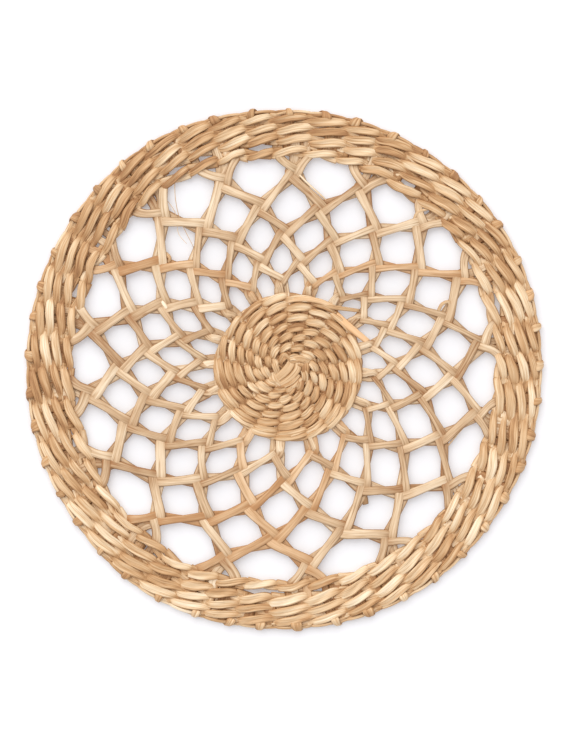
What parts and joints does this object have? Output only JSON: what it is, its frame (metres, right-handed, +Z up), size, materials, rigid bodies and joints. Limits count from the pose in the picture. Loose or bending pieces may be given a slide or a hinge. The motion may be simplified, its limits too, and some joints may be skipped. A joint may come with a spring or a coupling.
{
  "type": "round seagrass placemat",
  "caption": "Round flat placemat of twined seagrass: a woven centre and a woven rim joined by an openwork of crossing strands.",
  "frame": {"origin": "on the table, under the middle of the mat's bounding box", "axes": "+Z up from the table, +X to the right and +Y away from the person who sits at the mat"},
  "size_m": [0.3778, 0.3796, 0.0084],
  "materials": {
    "seagrass": "matte"
  },
  "bodies": {
    "root": {"woven_mat": "seagrass"}
  },
  "joints": []
}
